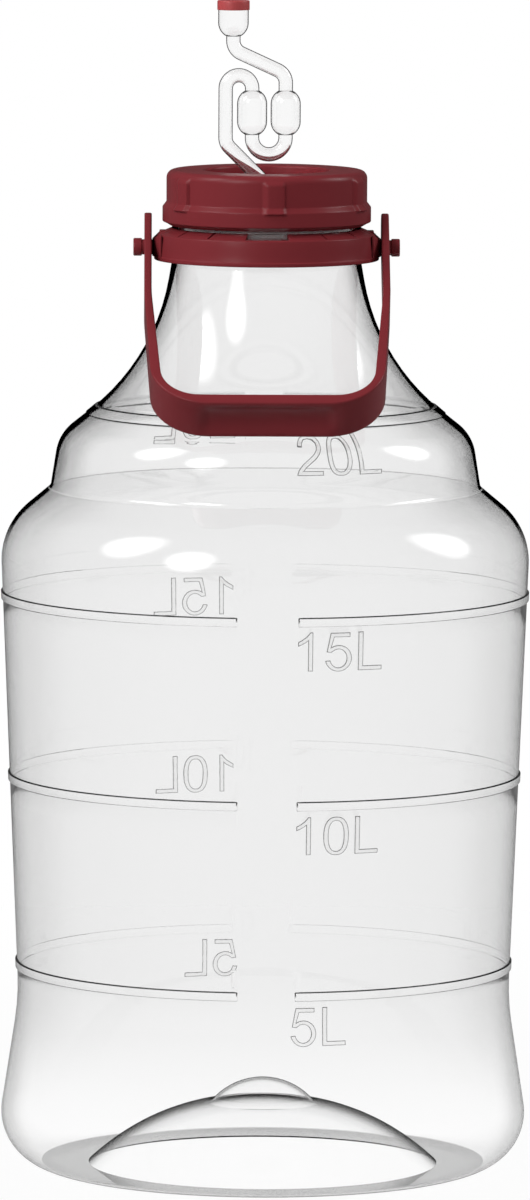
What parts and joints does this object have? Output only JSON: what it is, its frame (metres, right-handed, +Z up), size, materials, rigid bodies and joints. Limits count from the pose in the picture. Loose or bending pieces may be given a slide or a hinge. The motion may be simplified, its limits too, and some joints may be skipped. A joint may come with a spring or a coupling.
{
  "type": "fermentation jar",
  "caption": "Clear blown fermentation jar with graduation bands, a carrier ring with a swinging handle, a dark red screw lid and an S-shaped bubbler airlock in the lid's hollow.",
  "frame": {"origin": "on the ground under the middle of the jar's base", "axes": "+Z up along the jar's axis; the front, on which the handle rests, faces -Y; +X to the right seen from the front"},
  "size_m": [0.2704, 0.2698, 0.5987],
  "materials": {
    "clear_plastic": "clear blown plastic, glossy",
    "clear_airlock": "clear moulded plastic, glossy",
    "red_plastic": "dark red moulded plastic, satin",
    "red_cap": "red moulded plastic, satin",
    "rubber": "soft dark grey rubber"
  },
  "bodies": {
    "jar": {"jar_body": "clear_plastic", "carrier_ring": "red_plastic"},
    "handle": {"handle": "red_plastic"},
    "lid_rise": {"lid_seal": "rubber"},
    "lid": {"screw_lid": "red_plastic", "airlock_grommet": "rubber"},
    "airlock": {"airlock_tube": "clear_airlock"},
    "cap": {"airlock_cap": "red_cap"}
  },
  "joints": [
    {"name": "handle_swing", "type": "hinge", "parent": "jar", "child": "handle", "pos_m": [0, 0, 0.4728], "axis": [-1, 0, 0], "range_deg": [0, 252]},
    {"name": "lid_lift", "type": "slide", "parent": "jar", "child": "lid_rise", "axis": [0, 0, 1], "range_m": [0, 0.0091]},
    {"name": "lid_turn", "type": "hinge", "parent": "lid_rise", "child": "lid", "pos_m": [0, 0, 0], "axis": [0, 0, 1], "range_deg": [0, 540]},
    {"name": "airlock_pull", "type": "slide", "parent": "lid", "child": "airlock", "axis": [0, 0, 1], "range_m": [0, 0.03]},
    {"name": "cap_lift", "type": "slide", "parent": "airlock", "child": "cap", "axis": [0, 0, 1], "range_m": [0, 0.012]}
  ],
  "couplings": [
    {"joint": "lid_lift", "follows": "lid_turn", "m_per_rad": 0.00095493}
  ]
}
